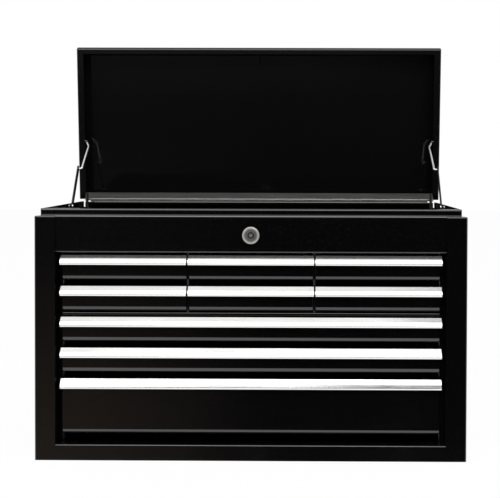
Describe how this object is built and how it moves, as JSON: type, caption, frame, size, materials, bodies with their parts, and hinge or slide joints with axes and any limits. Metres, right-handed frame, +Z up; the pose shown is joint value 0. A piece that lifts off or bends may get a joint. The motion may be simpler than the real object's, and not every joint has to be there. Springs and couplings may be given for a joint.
{
  "type": "machinist tool chest",
  "caption": "Machinist tool chest: lidded till with key lock over small, wide and deep drawers, full-width bright pulls, folding lid stays and side handles.",
  "frame": {"origin": "middle of the underside, where the chest stands on a bench or a roller cabinet", "axes": "+X to the right seen from the front, +Y to the back, +Z up; the lid stands open at rest"},
  "size_m": [0.687, 0.311, 0.6662],
  "materials": {
    "black_gloss": "gloss black powder coat",
    "bright_trim": "bright polished trim",
    "zinc_slide": "zinc plated",
    "bright_wire": "bright plated wire",
    "lock_nickel": "satin nickel",
    "steel_rod": "oiled steel",
    "grip": "moulded grip on plated wire"
  },
  "bodies": {
    "cabinet": {"left_side_panel": "black_gloss", "right_side_panel": "black_gloss", "back_panel": "black_gloss", "base_panel": "black_gloss", "bottom_rail": "black_gloss", "header_panel": "black_gloss", "top_tray": "black_gloss", "drawer_dividers": "black_gloss", "cross_rails": "black_gloss", "slide_uprights": "black_gloss", "small_drawer_slide_channels": "zinc_slide", "wide_drawer_slide_channels": "zinc_slide", "cabinet_hinge_leaf": "black_gloss", "hinge_pin": "steel_rod", "lock_housing": "lock_nickel", "lock_nut": "lock_nickel", "stay_foot_rivets": "bright_wire", "lock_rod_guides": "zinc_slide", "lock_return_springs": "steel_rod", "handle_brackets": "zinc_slide"},
    "lid": {"lid_panel": "black_gloss", "lid_striker": "steel_rod", "lid_hinge_leaf": "black_gloss"},
    "lock": {"lock_plug": "lock_nickel", "lock_cam": "lock_nickel"},
    "left_wire": {"left_stay_wire": "bright_wire"},
    "right_wire": {"right_stay_wire": "bright_wire"},
    "left_strap": {"left_stay_strap": "steel_rod"},
    "right_strap": {"right_stay_strap": "steel_rod"},
    "drawer_lock": {"drawer_lock_frame": "steel_rod"},
    "left_handle": {"left_handle_bail": "grip"},
    "right_handle": {"right_handle_bail": "grip"},
    "drawer_1": {"drawer_1_tray": "black_gloss", "drawer_1_trim": "bright_trim", "drawer_1_runners": "zinc_slide"},
    "drawer_2": {"drawer_2_tray": "black_gloss", "drawer_2_trim": "bright_trim", "drawer_2_runners": "zinc_slide"},
    "drawer_3": {"drawer_3_tray": "black_gloss", "drawer_3_trim": "bright_trim", "drawer_3_runners": "zinc_slide"},
    "drawer_4": {"drawer_4_tray": "black_gloss", "drawer_4_trim": "bright_trim", "drawer_4_runners": "zinc_slide"},
    "drawer_5": {"drawer_5_tray": "black_gloss", "drawer_5_trim": "bright_trim", "drawer_5_runners": "zinc_slide"},
    "drawer_6": {"drawer_6_tray": "black_gloss", "drawer_6_trim": "bright_trim", "drawer_6_runners": "zinc_slide"},
    "drawer_7": {"drawer_7_tray": "black_gloss", "drawer_7_trim": "bright_trim", "drawer_7_runners": "zinc_slide"},
    "drawer_8": {"drawer_8_tray": "black_gloss", "drawer_8_trim": "bright_trim", "drawer_8_runners": "zinc_slide"},
    "drawer_9": {"drawer_9_tray": "black_gloss", "drawer_9_trim": "bright_trim", "drawer_9_runners": "zinc_slide"}
  },
  "joints": [
    {"name": "lid_hinge", "type": "hinge", "parent": "cabinet", "child": "lid", "pos_m": [0, 0.141, 0.388], "axis": [1, 0, 0], "range_deg": [0, 85.5]},
    {"name": "lock_turn", "type": "hinge", "parent": "cabinet", "child": "lock", "pos_m": [0, -0.115, 0.345], "axis": [0, -1, 0], "range_deg": [0, 90]},
    {"name": "drawer_lock_slide", "type": "slide", "parent": "cabinet", "child": "drawer_lock", "axis": [0, 0, -1], "range_m": [0, 0.0111], "deforming": ["lock_return_springs"]},
    {"name": "left_strap_pivot", "type": "hinge", "parent": "cabinet", "child": "left_strap", "pos_m": [-0.3199, 0.045, 0.379], "axis": [1, 0, 0], "range_deg": [0, 128]},
    {"name": "left_wire_pivot", "type": "hinge", "parent": "lid", "child": "left_wire", "pos_m": [-0.3185, 0.1346, 0.49483], "axis": [1, 0, 0], "range_deg": [-117.9, 0]},
    {"name": "left_handle_hinge", "type": "hinge", "parent": "cabinet", "child": "left_handle", "pos_m": [-0.338, 0, 0.235], "axis": [0, 1, 0], "range_deg": [0, 90]},
    {"name": "right_strap_pivot", "type": "hinge", "parent": "cabinet", "child": "right_strap", "pos_m": [0.3199, 0.045, 0.379], "axis": [1, 0, 0], "range_deg": [0, 128]},
    {"name": "right_wire_pivot", "type": "hinge", "parent": "lid", "child": "right_wire", "pos_m": [0.3185, 0.1346, 0.49483], "axis": [1, 0, 0], "range_deg": [-117.9, 0]},
    {"name": "right_handle_hinge", "type": "hinge", "parent": "cabinet", "child": "right_handle", "pos_m": [0.338, 0, 0.235], "axis": [0, -1, 0], "range_deg": [0, 90]},
    {"name": "drawer_1_slide", "type": "slide", "parent": "cabinet", "child": "drawer_1", "axis": [0, -1, 0], "range_m": [0, 0.19]},
    {"name": "drawer_2_slide", "type": "slide", "parent": "cabinet", "child": "drawer_2", "axis": [0, -1, 0], "range_m": [0, 0.19]},
    {"name": "drawer_3_slide", "type": "slide", "parent": "cabinet", "child": "drawer_3", "axis": [0, -1, 0], "range_m": [0, 0.19]},
    {"name": "drawer_4_slide", "type": "slide", "parent": "cabinet", "child": "drawer_4", "axis": [0, -1, 0], "range_m": [0, 0.19]},
    {"name": "drawer_5_slide", "type": "slide", "parent": "cabinet", "child": "drawer_5", "axis": [0, -1, 0], "range_m": [0, 0.19]},
    {"name": "drawer_6_slide", "type": "slide", "parent": "cabinet", "child": "drawer_6", "axis": [0, -1, 0], "range_m": [0, 0.19]},
    {"name": "drawer_7_slide", "type": "slide", "parent": "cabinet", "child": "drawer_7", "axis": [0, -1, 0], "range_m": [0, 0.19]},
    {"name": "drawer_8_slide", "type": "slide", "parent": "cabinet", "child": "drawer_8", "axis": [0, -1, 0], "range_m": [0, 0.19]},
    {"name": "drawer_9_slide", "type": "slide", "parent": "cabinet", "child": "drawer_9", "axis": [0, -1, 0], "range_m": [0, 0.19]}
  ],
  "couplings": [
    {"joint": "drawer_lock_slide", "follows": "lid_hinge", "m_per_rad": 0.007371},
    {"joint": "left_strap_pivot", "follows": "lid_hinge", "ratio": 1.4953},
    {"joint": "left_wire_pivot", "follows": "lid_hinge", "ratio": -1.3763},
    {"joint": "right_strap_pivot", "follows": "lid_hinge", "ratio": 1.4953},
    {"joint": "right_wire_pivot", "follows": "lid_hinge", "ratio": -1.3763}
  ]
}
